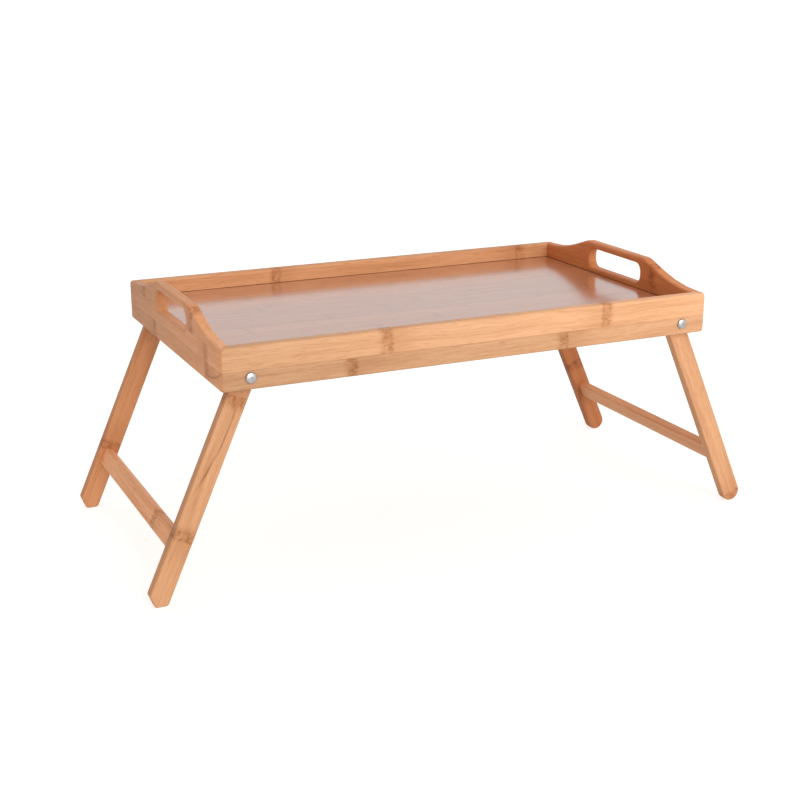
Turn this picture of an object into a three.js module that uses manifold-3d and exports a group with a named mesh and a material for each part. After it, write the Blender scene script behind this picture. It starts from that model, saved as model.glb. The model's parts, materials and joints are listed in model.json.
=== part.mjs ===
// Folding bed tray table, in millimetres.
// +X runs along the tray, +Y towards its back rail, +Z up; the origin is on the floor, below the middle.
// The legs are built in their open, splayed pose.
import * as THREE from 'three';
import { mergeVertices } from 'three/addons/utils/BufferGeometryUtils.js';
import Module from 'manifold-3d';

const wasm = await Module();
wasm.setup();

// ---------- driving sizes ----------
const trayLength = 500;
const trayDepth = 297;
const stock = 10.8; // thickness of the four frame boards
const railHeight = 39.4;
const panelThickness = 3;
const panelDrop = 15.2; // panel surface below the rail tops
const legWidth = 19.8;
const legThickness = 10.5;
const legSplay = THREE.MathUtils.degToRad(23.8);
const legReach = 212.1; // pivot to the centre of a rounded foot
const pivotInset = 26.7; // pivot in from the tray's end
const pivotAboveRailBottom = 10.9;
const ease = 1.5; // rounding on every long edge
const easeSteps = 2;
const boardArcSteps = 4;
const legArcSteps = 6;

// ---------- worked out from them ----------
const halfLength = trayLength / 2;
const halfDepth = trayDepth / 2;
const legHalfWidth = legWidth / 2;
const pivotX = halfLength - pivotInset;
const pivotZ = legReach * Math.cos(legSplay) + legHalfWidth;
const railBottom = pivotZ - pivotAboveRailBottom;
const railTop = railBottom + railHeight;
const panelTop = railTop - panelDrop;

// ---------- fastening sizes ----------
const boltRadius = 2.5;
const boltHoleRadius = 2.6;
const boltHeadRadius = 5.2;
const boltHeadHeight = 2.4;
const dimpleRadius = 1.1;
const dimpleDepth = 0.5;
const washerRadius = 6;
const spacerThickness = 0.6;
const innerWasherThickness = 1;
const runningGap = 0.15; // on each side of a washer beside a moving leg
const nutAcrossFlats = 8;
const nutHeight = 3.6;
const nutDomeHeight = 2.6;
const roundSteps = 24;

// ---------- positions across the tray, measured from its middle ----------
const railInnerY = halfDepth - stock;
const legOuterY = railInnerY - spacerThickness - 2 * runningGap;
const legInnerY = legOuterY - legThickness;
const innerWasherY = legInnerY - runningGap;
const nutY = innerWasherY - innerWasherThickness;

// ---------- small helpers ----------
const quarter = Math.PI / 2; // a quarter turn

function toManifold(geometry) {
  const positions = new THREE.BufferGeometry();
  positions.setAttribute('position', geometry.getAttribute('position').clone());
  if (geometry.index) positions.setIndex(geometry.index);
  const welded = mergeVertices(positions, 1e-4);
  return new wasm.Manifold(new wasm.Mesh({
    numProp: 3,
    vertProperties: new Float32Array(welded.getAttribute('position').array),
    triVerts: new Uint32Array(welded.index.array),
  }));
}

function toGeometry(solid) {
  const mesh = solid.getMesh();
  const geometry = new THREE.BufferGeometry();
  geometry.setAttribute('position', new THREE.BufferAttribute(mesh.vertProperties.slice(), 3));
  geometry.setIndex(new THREE.BufferAttribute(mesh.triVerts.slice(), 1));
  geometry.computeVertexNormals();
  return geometry;
}

const cut = (solid, cutters) => cutters.reduce((left, cutter) => left.subtract(cutter), solid);

function box(xRange, yRange, zRange) {
  const size = [xRange, yRange, zRange].map(([low, high]) => high - low);
  const middle = [xRange, yRange, zRange].map(([low, high]) => (low + high) / 2);
  return toManifold(new THREE.BoxGeometry(...size).translate(...middle));
}

// A round bar along Y from one y to another, centred on x, z.
function barAlongY(radius, x, z, fromY, toY) {
  const bar = new THREE.CylinderGeometry(radius, radius, Math.abs(toY - fromY), roundSteps);
  return toManifold(bar.translate(x, (fromY + toY) / 2, z));
}

// An outline drawn in its own plane, given its thickness, with eased edges.
function easedSlab(shape, thickness, arcSteps) {
  return new THREE.ExtrudeGeometry(shape, {
    depth: thickness - 2 * ease,
    bevelEnabled: true,
    bevelSize: ease,
    bevelOffset: -ease,
    bevelThickness: ease,
    bevelSegments: easeSteps,
    curveSegments: arcSteps,
  }).translate(0, 0, ease);
}

// Moves a slab drawn in (across, up) so that across is Y, up is Z and its thickness runs along +X from x.
function standAlongY(geometry, x) {
  return geometry.rotateX(quarter).rotateZ(quarter).translate(x, 0, 0);
}

// Moves a slab drawn in (along, up) so that along is X, up is Z and its thickness runs towards -Y from y.
function standAlongX(geometry, y) {
  return geometry.rotateX(quarter).translate(0, y, 0);
}

// A turned solid: outline points are [radius, height]; height runs along Y.
function turned(points, steps = roundSteps) {
  return toManifold(new THREE.LatheGeometry(points.map(([r, h]) => new THREE.Vector2(r, h)), steps));
}

// ---------- tray frame ----------
const cornerRound = 4; // outer top corners of the frame, seen side on
const lowerRound = 2; // its outer lower corners
const grooveDepth = 5;
const grooveGap = 0.15;
const panelTongue = grooveDepth - 0.5;
const tongueStep = 0.6; // the tongue's upper face lies this far below the panel's
const panelEdgeGap = 0.5; // the thin joint line round the panel's face
const pastEdge = 10; // how far a cutting solid runs past the wood

function railOutline() {
  const topEndX = halfLength - cornerRound;
  const lowEndX = halfLength - lowerRound;
  const topZ = railTop - cornerRound;
  const lowZ = railBottom + lowerRound;
  const shape = new THREE.Shape();
  shape.absarc(lowEndX, lowZ, lowerRound, -quarter, 0, false);
  shape.absarc(topEndX, topZ, cornerRound, 0, quarter, false);
  shape.absarc(-topEndX, topZ, cornerRound, quarter, 2 * quarter, false);
  shape.absarc(-lowEndX, lowZ, lowerRound, 2 * quarter, 3 * quarter, false);
  return shape;
}

const handleRise = 18.2;
const handleSlope = THREE.MathUtils.degToRad(18.8);
const flareRadius = 180; // hollow sweep from the rail height up to the slope
const shoulderRadius = 24; // outward bend from the slope to the flat top
const flareStart = railInnerY;
const slotHalfLength = 49;
const slotBelowRailTop = 9.8;
const slotAboveRailTop = 11;
const slotCorner = 9;

function endBoardOutline() {
  const flareRun = flareRadius * Math.sin(handleSlope);
  const flareRise = flareRadius * (1 - Math.cos(handleSlope));
  const shoulderRise = shoulderRadius * (1 - Math.cos(handleSlope));
  const slopeRun = (handleRise - flareRise - shoulderRise) / Math.tan(handleSlope);
  const shoulderCentreY = flareStart - flareRun - slopeRun - shoulderRadius * Math.sin(handleSlope);
  const shoulderCentreZ = railTop + handleRise - shoulderRadius;
  const flareCentreZ = railTop + flareRadius;
  const topEndY = halfDepth - cornerRound;
  const lowEndY = halfDepth - lowerRound;
  const topZ = railTop - cornerRound;
  const lowZ = railBottom + lowerRound;
  const shape = new THREE.Shape();
  shape.absarc(lowEndY, lowZ, lowerRound, -quarter, 0, false);
  shape.absarc(topEndY, topZ, cornerRound, 0, quarter, false);
  shape.absarc(flareStart, flareCentreZ, flareRadius, -quarter, -quarter - handleSlope, true);
  shape.absarc(shoulderCentreY, shoulderCentreZ, shoulderRadius, quarter - handleSlope, quarter, false);
  shape.absarc(-shoulderCentreY, shoulderCentreZ, shoulderRadius, quarter, quarter + handleSlope, false);
  shape.absarc(-flareStart, flareCentreZ, flareRadius, -quarter + handleSlope, -quarter, true);
  shape.absarc(-topEndY, topZ, cornerRound, quarter, 2 * quarter, false);
  shape.absarc(-lowEndY, lowZ, lowerRound, 2 * quarter, 3 * quarter, false);
  shape.holes.push(slotOutline());
  return shape;
}

function slotOutline() {
  const endY = slotHalfLength - slotCorner;
  const lowZ = railTop - slotBelowRailTop + slotCorner;
  const highZ = railTop + slotAboveRailTop - slotCorner;
  const slot = new THREE.Path();
  slot.absarc(endY, highZ, slotCorner, quarter, 0, true);
  slot.absarc(endY, lowZ, slotCorner, 0, -quarter, true);
  slot.absarc(-endY, lowZ, slotCorner, -quarter, -2 * quarter, true);
  slot.absarc(-endY, highZ, slotCorner, 2 * quarter, quarter, true);
  slot.closePath();
  return slot;
}

// Everything beyond a 45 degree mitre at one corner of the frame.
// keepRail true leaves the rail's side of the joint, false the end board's side.
function mitreCutter(endSign, sideSign, keepRail) {
  const corner = [endSign * (halfLength + pastEdge), sideSign * (halfDepth + pastEdge)];
  const reach = stock + 2 * pastEdge;
  const inner = [corner[0] - endSign * reach, corner[1] - sideSign * reach];
  const third = keepRail ? [corner[0], inner[1]] : [inner[0], corner[1]];
  const shape = new THREE.Shape([corner, inner, third].map(([x, y]) => new THREE.Vector2(x, y)));
  const height = handleRise + railHeight + 2 * pastEdge;
  const wedge = new THREE.ExtrudeGeometry(shape, { depth: height, bevelEnabled: false });
  return toManifold(wedge.translate(0, 0, railBottom - pastEdge));
}

// A hidden wooden key across each mitre.
const keyThickness = 2.4;
const keyWidth = 8;
const keyFromCorner = 6.6; // along the mitre, from the outer corner to the key's middle
const keyEndInset = 5; // key stops short of the frame's bottom and top
const keyFit = 0.1;

function keySolid(endSign, sideSign, clearance) {
  const thickness = keyThickness + 2 * clearance;
  const width = keyWidth + 2 * clearance;
  const height = panelTop - panelThickness - railBottom - keyEndInset + 2 * clearance;
  const inward = keyFromCorner * Math.SQRT1_2;
  const key = new THREE.BoxGeometry(thickness, width, height);
  key.rotateZ(endSign * sideSign * Math.PI / 4);
  key.translate(
    endSign * (halfLength - inward),
    sideSign * (halfDepth - inward),
    railBottom + keyEndInset / 2 + height / 2 - clearance,
  );
  return toManifold(key);
}

const panelGroove = () => box(
  [-halfLength + stock - grooveDepth, halfLength - stock + grooveDepth],
  [-railInnerY - grooveDepth, railInnerY + grooveDepth],
  [panelTop - panelThickness - grooveGap, panelTop - tongueStep + grooveGap],
);

function rail(sideSign) {
  const outline = easedSlab(railOutline(), stock, boardArcSteps);
  const solid = toManifold(standAlongX(outline, sideSign > 0 ? halfDepth : -railInnerY));
  const cutters = [panelGroove()];
  for (const endSign of [-1, 1]) {
    cutters.push(mitreCutter(endSign, sideSign, true));
    cutters.push(keySolid(endSign, sideSign, keyFit));
    const outerY = sideSign * (halfDepth + pastEdge);
    const innerY = sideSign * (railInnerY - pastEdge);
    cutters.push(barAlongY(boltHoleRadius, endSign * pivotX, pivotZ, outerY, innerY));
  }
  return cut(solid, cutters);
}

function endBoard(endSign) {
  const outline = easedSlab(endBoardOutline(), stock, boardArcSteps);
  const solid = toManifold(standAlongY(outline, endSign > 0 ? halfLength - stock : -halfLength));
  const cutters = [panelGroove()];
  for (const sideSign of [-1, 1]) {
    cutters.push(mitreCutter(endSign, sideSign, false));
    cutters.push(keySolid(endSign, sideSign, keyFit));
  }
  return cut(solid, cutters);
}

// The panel's edge is rebated: its face stops just short of the frame and the tongue below runs into the groove.
function panel() {
  const panelBottom = panelTop - panelThickness;
  const tongueX = halfLength - stock + panelTongue;
  const tongueY = railInnerY + panelTongue;
  const faceX = halfLength - stock - panelEdgeGap;
  const faceY = railInnerY - panelEdgeGap;
  const tongue = box([-tongueX, tongueX], [-tongueY, tongueY], [panelBottom, panelTop - tongueStep]);
  return tongue.add(box([-faceX, faceX], [-faceY, faceY], [panelBottom, panelTop]));
}

// ---------- leg frames ----------
const stretcherFromPivot = 164.3;
const stretcherWidth = 18;
const stretcherThickness = 9.6;
const dowelRadius = 2.5;
const dowelHoleRadius = 2.6;
const dowelDepth = 7; // into the leg
const dowelInStretcher = 14;
const dowelEndGap = 0.5;
const dowelSpacing = 9;
const innerFootRound = 3;

// Leg outlines are drawn with x across the leg (inner side positive) and y up towards the pivot at 0, 0.
function roundFootOutline() {
  const shape = new THREE.Shape();
  shape.absarc(0, 0, legHalfWidth, 0, 2 * quarter, false);
  const floorContact = 3 * quarter + legSplay;
  shape.absarc(0, -legReach, legHalfWidth, 2 * quarter, floorContact, false);
  shape.absarc(0, -legReach, legHalfWidth, floorContact, 4 * quarter, false);
  shape.closePath();
  return shape;
}

// The clipped foot stands flat on the floor and has a 45 degree chamfer on its outer corner.
// Its chamfer starts where the foot reaches exactly as far out as a rounded one does.
function clippedFootOutline() {
  const sin = Math.sin(legSplay);
  const cos = Math.cos(legSplay);
  const chamferStart = legReach + legHalfWidth * (1 - cos) / sin;
  const chamfer = (pivotZ + legHalfWidth * sin - chamferStart * cos) / (cos + sin);
  const innerCornerDown = (pivotZ - legHalfWidth * sin) / cos;
  const cornerTurn = quarter - legSplay;
  const setBack = innerFootRound * Math.tan(cornerTurn / 2);
  const shape = new THREE.Shape();
  shape.absarc(0, 0, legHalfWidth, 0, 2 * quarter, false);
  shape.lineTo(-legHalfWidth, -chamferStart);
  shape.lineTo(-legHalfWidth + chamfer, -chamferStart - chamfer);
  const arcCentreDown = innerCornerDown - setBack;
  const floorNormal = -quarter + legSplay;
  shape.absarc(legHalfWidth - innerFootRound, -arcCentreDown, innerFootRound, floorNormal, 0, false);
  shape.closePath();
  return shape;
}

// Turns a solid drawn hanging straight down from 0, 0 into its splayed place at one end of the tray.
function splay(solid, endSign) {
  const degrees = THREE.MathUtils.radToDeg(legSplay);
  return solid.rotate([0, -endSign * degrees, 0]).translate([endSign * pivotX, 0, pivotZ]);
}

function dowelBar(sideSign, endSign, clearance, acrossSign) {
  const radius = clearance ? dowelHoleRadius : dowelRadius;
  const across = acrossSign * dowelSpacing / 2;
  const outerY = legInnerY + dowelDepth - (clearance ? 0 : dowelEndGap);
  const innerY = legInnerY - dowelInStretcher + (clearance ? 0 : dowelEndGap);
  return barAlongY(radius, 0, -stretcherFromPivot + across, sideSign * innerY, sideSign * outerY);
}

function leg(endSign, sideSign, outline) {
  const slab = easedSlab(outline, legThickness, legArcSteps);
  if (endSign > 0) slab.rotateY(2 * quarter).translate(0, 0, legThickness);
  const solid = toManifold(standAlongX(slab, sideSign > 0 ? legOuterY : -legInnerY));
  const pivotHole = barAlongY(boltHoleRadius, 0, 0, sideSign * (legInnerY - 1), sideSign * (legOuterY + 1));
  const dowelHoles = [-1, 1].map((acrossSign) => dowelBar(sideSign, endSign, true, acrossSign));
  return splay(cut(solid, [pivotHole, ...dowelHoles]), endSign);
}

function stretcher(endSign) {
  const halfWidth = stretcherWidth / 2;
  const halfThickness = stretcherThickness / 2;
  const corners = [[1, -1, -90], [1, 1, 0], [-1, 1, 90], [-1, -1, 180]];
  const shape = new THREE.Shape();
  for (const [x, z, fromDegrees] of corners) {
    const from = THREE.MathUtils.degToRad(fromDegrees);
    const centreX = x * (halfThickness - ease);
    const centreZ = z * (halfWidth - ease) - stretcherFromPivot;
    shape.absarc(centreX, centreZ, ease, from, from + quarter, false);
  }
  const bar = new THREE.ExtrudeGeometry(shape, {
    depth: 2 * legInnerY, bevelEnabled: false, curveSegments: easeSteps,
  });
  const holes = [];
  for (const sideSign of [-1, 1]) {
    for (const acrossSign of [-1, 1]) holes.push(dowelBar(sideSign, endSign, true, acrossSign));
  }
  return splay(cut(toManifold(standAlongX(bar, legInnerY)), holes), endSign);
}

const dowel = (endSign, sideSign, acrossSign) => (
  splay(dowelBar(sideSign, endSign, false, acrossSign), endSign)
);

// ---------- pivot hardware, drawn along +Y with the rail's outer face at y = 0 ----------
function pivotBolt() {
  const shankEnd = nutY - nutHeight - halfDepth;
  const points = [[0, shankEnd], [boltRadius, shankEnd], [boltRadius, 0], [boltHeadRadius, 0]];
  const domeSteps = 6;
  for (let i = 1; i <= domeSteps; i += 1) {
    const angle = (i / domeSteps) * Math.acos(dimpleRadius / boltHeadRadius);
    points.push([boltHeadRadius * Math.cos(angle), boltHeadHeight * Math.sin(angle)]);
  }
  const rim = points[points.length - 1][1];
  points.push([dimpleRadius / 2, rim - dimpleDepth], [0, rim - dimpleDepth]);
  return turned(points);
}

function washer(thickness, outerFaceY) {
  const top = outerFaceY - halfDepth;
  const bottom = top - thickness;
  const hole = boltHoleRadius;
  return turned([[hole, bottom], [washerRadius, bottom], [washerRadius, top], [hole, top], [hole, bottom]]);
}

function capNut() {
  const top = nutY - halfDepth;
  const bottom = top - nutHeight;
  const hexRadius = nutAcrossFlats / 2 / Math.cos(Math.PI / 6);
  const hex = new THREE.CylinderGeometry(hexRadius, hexRadius, nutHeight, 6);
  const body = toManifold(hex.translate(0, (top + bottom) / 2, 0));
  const domeRadius = nutAcrossFlats / 2;
  const domePoints = [[0, bottom - nutDomeHeight]];
  const domeSteps = 5;
  for (let i = 1; i <= domeSteps; i += 1) {
    const angle = (i / domeSteps) * quarter;
    domePoints.push([domeRadius * Math.sin(angle), bottom - nutDomeHeight * Math.cos(angle)]);
  }
  domePoints.push([domeRadius, bottom + 1], [0, bottom + 1]);
  const boreEnd = bottom - 1;
  return body.add(turned(domePoints)).subtract(barAlongY(boltHoleRadius, 0, 0, top + 1, boreEnd));
}

function atPivot(solid, endSign, sideSign) {
  const turnedRound = sideSign > 0 ? solid : solid.rotate([0, 0, 180]);
  return turnedRound.translate([endSign * pivotX, sideSign * halfDepth, pivotZ]);
}

// ---------- materials ----------
const bambooMaterial = new THREE.MeshStandardMaterial({ color: 0xd99a63, roughness: 0.4, metalness: 0 });
const panelMaterial = new THREE.MeshStandardMaterial({ color: 0xd9b48a, roughness: 0.12, metalness: 0 });
const dowelMaterial = new THREE.MeshStandardMaterial({ color: 0xd8bd8f, roughness: 0.7, metalness: 0 });
const steelMaterial = new THREE.MeshStandardMaterial({ color: 0xc9ccd0, roughness: 0.25, metalness: 1 });

// ---------- assembly ----------
const part = new THREE.Group();

function place(name, solid, material) {
  const mesh = new THREE.Mesh(toGeometry(solid), material);
  mesh.name = name;
  part.add(mesh);
}

const ends = [['left', -1, clippedFootOutline()], ['right', 1, roundFootOutline()]];
const sides = [['front', -1], ['back', 1]];

place('tray_panel', panel(), panelMaterial);
for (const [side, sideSign] of sides) place(`${side}_rail`, rail(sideSign), bambooMaterial);

for (const [end, endSign, legOutline] of ends) {
  place(`${end}_end_board`, endBoard(endSign), bambooMaterial);
  place(`${end}_stretcher`, stretcher(endSign), bambooMaterial);
  for (const [side, sideSign] of sides) {
    const here = `${end}_${side}`;
    place(`${here}_leg`, leg(endSign, sideSign, legOutline), bambooMaterial);
    place(`${here}_corner_key`, keySolid(endSign, sideSign, 0), dowelMaterial);
    place(`${here}_upper_dowel`, dowel(endSign, sideSign, 1), dowelMaterial);
    place(`${here}_lower_dowel`, dowel(endSign, sideSign, -1), dowelMaterial);
    place(`${here}_pivot_bolt`, atPivot(pivotBolt(), endSign, sideSign), steelMaterial);
    const spacer = washer(spacerThickness, railInnerY - runningGap);
    place(`${here}_spacer_washer`, atPivot(spacer, endSign, sideSign), steelMaterial);
    const inner = washer(innerWasherThickness, innerWasherY);
    place(`${here}_inner_washer`, atPivot(inner, endSign, sideSign), steelMaterial);
    place(`${here}_cap_nut`, atPivot(capNut(), endSign, sideSign), steelMaterial);
  }
}

export default part;
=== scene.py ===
"""Folding tray table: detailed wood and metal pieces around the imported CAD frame, in metres."""
import json
import math

import bmesh
import bpy
from mathutils import Matrix, Vector


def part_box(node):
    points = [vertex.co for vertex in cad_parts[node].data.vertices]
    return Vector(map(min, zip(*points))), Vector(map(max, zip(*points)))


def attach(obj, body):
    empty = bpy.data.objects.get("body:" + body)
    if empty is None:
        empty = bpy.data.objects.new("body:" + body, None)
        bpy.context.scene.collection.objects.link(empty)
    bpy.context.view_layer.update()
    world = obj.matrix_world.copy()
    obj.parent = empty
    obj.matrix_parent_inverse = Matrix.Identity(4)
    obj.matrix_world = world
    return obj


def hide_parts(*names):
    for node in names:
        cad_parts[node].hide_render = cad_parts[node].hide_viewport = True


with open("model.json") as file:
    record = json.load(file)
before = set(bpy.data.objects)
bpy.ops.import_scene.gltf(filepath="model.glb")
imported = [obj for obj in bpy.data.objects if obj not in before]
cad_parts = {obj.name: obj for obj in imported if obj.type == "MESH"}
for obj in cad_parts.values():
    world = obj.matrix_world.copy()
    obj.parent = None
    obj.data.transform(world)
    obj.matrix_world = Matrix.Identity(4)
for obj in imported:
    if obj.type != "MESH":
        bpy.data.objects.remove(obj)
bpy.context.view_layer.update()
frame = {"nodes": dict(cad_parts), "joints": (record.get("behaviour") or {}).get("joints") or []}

mm = 0.001
UP = Vector((0, 0, 1))
ENDS = {"left": -1, "right": 1}
SIDES = {"front": -1, "back": 1}

# ---------- sizes read from the CAD frame ----------
rail_low, rail_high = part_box("back_rail")
board_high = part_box("right_end_board")[1]
panel_low, panel_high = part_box("tray_panel")
leg_low, leg_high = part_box("right_back_leg")
stretcher_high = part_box("right_stretcher")[1]
bolt_low, bolt_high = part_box("right_back_pivot_bolt")

half_length = board_high.x
half_depth = rail_high.y
stock = rail_high.y - rail_low.y
rail_bottom, rail_top = rail_low.z, rail_high.z
handle_top = board_high.z
leg_thickness = leg_high.y - leg_low.y
leg_middle_y = (leg_high.y + leg_low.y) / 2
pivots = {j["child"]: Vector(j["pos_m"]) for j in frame["joints"]}
pivot_x = pivots["right_leg_frame"].x
pivot_z = pivots["right_leg_frame"].z

# ---------- shape sizes that the boxes don't give; they repeat the CAD ones ----------
leg_splay = math.radians(23.8)
leg_reach = 212.1 * mm
leg_half_width = 9.9 * mm
handle_slope = math.radians(18.8)
flare_radius = 180 * mm
shoulder_radius = 24 * mm
slot_half_length = 49 * mm
slot_below_rail_top = 9.8 * mm
slot_above_rail_top = 11 * mm
slot_corner = 9 * mm
corner_round = 4 * mm
lower_round = 3 * mm
groove_depth = 5 * mm
stretcher_from_pivot = 164.3 * mm
stretcher_width = 18 * mm
stretcher_thickness = 9.6 * mm
shank_radius = 2.5 * mm
bolt_hole = 2.6 * mm
dowel_hole = 2.6 * mm
dowel_spacing = 9 * mm
leg_dowel_depth = 7 * mm
stretcher_dowel_depth = 14 * mm

# ---------- how far edges are rounded, and how finely ----------
board_ease = 2.4 * mm
leg_ease = 1.4 * mm
stretcher_ease = 2.4 * mm
stretcher_end_ease = 0.4 * mm
EASE_STEPS = 5
ARC_STEP = math.radians(7.5)
# degrees above which an edge stays sharp
SHARP_ANGLE = {"wood": 32, "bolt": 50, "washer": 40, "nut": 30}


# ---------- outlines ----------
def arc(centre, radius, start, end):
    """Points on an arc from angle start to angle end, in degrees; it turns either way."""
    first, last = math.radians(start), math.radians(end)
    steps = max(2, math.ceil(abs(last - first) / ARC_STEP))
    angles = [first + (last - first) * i / steps for i in range(steps + 1)]
    return [(centre[0] + radius * math.cos(a), centre[1] + radius * math.sin(a)) for a in angles]


def corner(point, radius, before, after):
    """The round that replaces a corner between two straight edges.

    before and after are the directions that the two edges face, outwards, in degrees.
    """
    middle, half_turn = math.radians((before + after) / 2), math.radians((after - before) / 2)
    away = radius / math.cos(half_turn)
    centre = (point[0] - away * math.cos(middle), point[1] - away * math.sin(middle))
    return arc(centre, radius, before, after)


def rounded_box(half_x, low_y, high_y, radius):
    """A rectangle with four equal round corners."""
    x = half_x - radius
    return (
        arc((x, low_y + radius), radius, -90, 0)
        + arc((x, high_y - radius), radius, 0, 90)
        + arc((-x, high_y - radius), radius, 90, 180)
        + arc((-x, low_y + radius), radius, 180, 270)
    )


def rail_outline():
    """The long rail seen from outside: along it, then height above the floor."""
    low, top = rail_bottom + lower_round, rail_top - corner_round
    low_x, top_x = half_length - lower_round, half_length - corner_round
    return (
        arc((low_x, low), lower_round, -90, 0)
        + arc((top_x, top), corner_round, 0, 90)
        + arc((-top_x, top), corner_round, 90, 180)
        + arc((-low_x, low), lower_round, 180, 270)
    )


def end_board_outline():
    """The end board seen from outside, with its raised handle."""
    slope = math.degrees(handle_slope)
    flare_start = half_depth - stock
    flare_end = flare_start - flare_radius * math.sin(handle_slope)
    flare_rise = flare_radius * (1 - math.cos(handle_slope))
    shoulder_rise = shoulder_radius * (1 - math.cos(handle_slope))
    slope_rise = handle_top - rail_top - flare_rise - shoulder_rise
    slope_end = flare_end - slope_rise / math.tan(handle_slope)
    shoulder = (slope_end - shoulder_radius * math.sin(handle_slope), handle_top - shoulder_radius)
    low, top = rail_bottom + lower_round, rail_top - corner_round
    low_x, top_x = half_depth - lower_round, half_depth - corner_round
    right_half = (
        arc((low_x, low), lower_round, -90, 0)
        + arc((top_x, top), corner_round, 0, 90)
        + arc((flare_start, rail_top + flare_radius), flare_radius, -90, -90 - slope)
        + arc(shoulder, shoulder_radius, 90 - slope, 90)
    )
    return right_half + [(-x, y) for x, y in reversed(right_half)]


def slot_outline():
    """The finger slot, wound the other way round because it is a hole."""
    low, high = rail_top - slot_below_rail_top, rail_top + slot_above_rail_top
    return list(reversed(rounded_box(slot_half_length, low, high, slot_corner)))


def round_foot_outline():
    """A leg with two round ends; x runs down the leg from the pivot."""
    return arc((0, 0), leg_half_width, 90, 270) + arc((leg_reach, 0), leg_half_width, -90, 90)


def clipped_foot_outline(inner_side):
    """A leg that ends flat on the floor, with its outer corner cut off at 45 degrees.

    inner_side is +1 or -1: the side of the leg, in its own y, that faces the middle of the tray.
    """
    sin, cos = math.sin(leg_splay), math.cos(leg_splay)
    splay = math.degrees(leg_splay)
    heel_round = 4 * mm
    toe_round = 3 * mm
    chamfer_start = leg_reach + leg_half_width * (1 - cos) / sin
    chamfer = (pivot_z + leg_half_width * sin - chamfer_start * cos) / (cos + sin)
    heel_x = (pivot_z - leg_half_width * sin) / cos
    outline = corner((chamfer_start, -leg_half_width), toe_round, -90, -45)
    outline += corner((chamfer_start + chamfer, -leg_half_width + chamfer), toe_round, -45, splay)
    outline += corner((heel_x, leg_half_width), heel_round, splay, 90)
    outline += arc((0, 0), leg_half_width, 90, 270)
    if inner_side < 0:
        outline = [(x, -y) for x, y in reversed(outline)]
    return outline


# ---------- mesh building ----------
def offset_loop(loop, inset):
    """The loop moved inwards by inset, or outwards round a hole, along each corner's bisector."""
    moved = []
    for i, point in enumerate(loop):
        before, here, after = Vector(loop[i - 1]), Vector(point), Vector(loop[(i + 1) % len(loop)])
        first, second = (here - before).normalized(), (after - here).normalized()
        bisector = Vector((-first.y - second.y, first.x + second.x))
        moved.append(here + bisector * inset / (1 + first.dot(second)))
    return moved


def clean_loop(loop):
    """The loop without points that coincide with the one before."""
    tiny = 0.001 * mm
    return [p for i, p in enumerate(loop) if (Vector(p) - Vector(loop[i - 1])).length > tiny]


def mesh_object(name, build):
    """A new linked mesh object whose bmesh is filled in by build."""
    mesh = bpy.data.meshes.new(name)
    bm = bmesh.new()
    build(bm)
    bmesh.ops.recalc_face_normals(bm, faces=bm.faces)
    bm.to_mesh(mesh)
    bm.free()
    made = bpy.data.objects.new(name, mesh)
    bpy.context.scene.collection.objects.link(made)
    return made


def ring_faces(bm, lower, upper):
    """Quads between two rings of the same length."""
    count = len(lower)
    for i in range(count):
        after = (i + 1) % count
        bm.faces.new((lower[i], lower[after], upper[after], upper[i]))


def slab(name, loops, thickness, ease):
    """An outline with holes, given thickness about z = 0, with its edges rounded by ease."""

    def build(bm):
        caps = {-1: [], 1: []}
        for loop in map(clean_loop, loops):
            sections = []
            for i in range(EASE_STEPS + 1):
                angle = math.pi / 2 * (1 - i / EASE_STEPS)
                sections.append((ease * (1 - math.cos(angle)), -thickness / 2 + ease * (1 - math.sin(angle))))
            sections += [(inset, -z) for inset, z in reversed(sections)]
            rings = [[bm.verts.new((p.x, p.y, z)) for p in offset_loop(loop, inset)] for inset, z in sections]
            for lower, upper in zip(rings, rings[1:]):
                ring_faces(bm, lower, upper)
            for side, ring in ((-1, rings[0]), (1, rings[-1])):
                caps[side] += [bm.edges.get((a, b)) for a, b in zip(ring, ring[1:] + ring[:1])]
        for edges in caps.values():
            bmesh.ops.triangle_fill(bm, edges=edges, use_beauty=True, use_dissolve=False)

    return mesh_object(name, build)


def turned(name, profile, steps=48):
    """A solid turned about z from (radius, height) points.

    The profile either starts and ends on the axis or closes on itself.
    """
    closes = profile[0] == profile[-1]
    on_axis = 0.000001 * mm

    def build(bm):
        rings = []
        turns = [2 * math.pi * i / steps for i in range(steps)]
        for radius, height in profile[:-1] if closes else profile:
            if radius < on_axis:
                rings.append([bm.verts.new((0, 0, height))])
                continue
            points = [(radius * math.cos(a), radius * math.sin(a), height) for a in turns]
            rings.append([bm.verts.new(point) for point in points])
        pairs = list(zip(rings, rings[1:]))
        if closes:
            pairs.append((rings[-1], rings[0]))
        for lower, upper in pairs:
            if len(lower) == 1 or len(upper) == 1:
                tip, ring = (lower[0], upper) if len(lower) == 1 else (upper[0], lower)
                for i in range(steps):
                    bm.faces.new((tip, ring[i], ring[(i + 1) % steps]))
            else:
                ring_faces(bm, lower, upper)

    return mesh_object(name, build)


def prism(name, points, low, high):
    """A plain solid: a polygon in x, y that is given height, from low to high."""

    def build(bm):
        lower = [bm.verts.new((x, y, low)) for x, y in points]
        upper = [bm.verts.new((x, y, high)) for x, y in points]
        ring_faces(bm, lower, upper)
        bm.faces.new(lower)
        bm.faces.new(upper)

    return mesh_object(name, build)


def frustum(name, low_half, low_z, high_half, high_z):
    """A flat-topped block whose half sizes in x, y change from low_z to high_z."""

    def corners(half, z):
        return [(sx * half[0], sy * half[1], z) for sx, sy in ((-1, -1), (1, -1), (1, 1), (-1, 1))]

    def build(bm):
        lower = [bm.verts.new(p) for p in corners(low_half, low_z)]
        upper = [bm.verts.new(p) for p in corners(high_half, high_z)]
        ring_faces(bm, lower, upper)
        bm.faces.new(lower)
        bm.faces.new(upper)

    return mesh_object(name, build)


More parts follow.
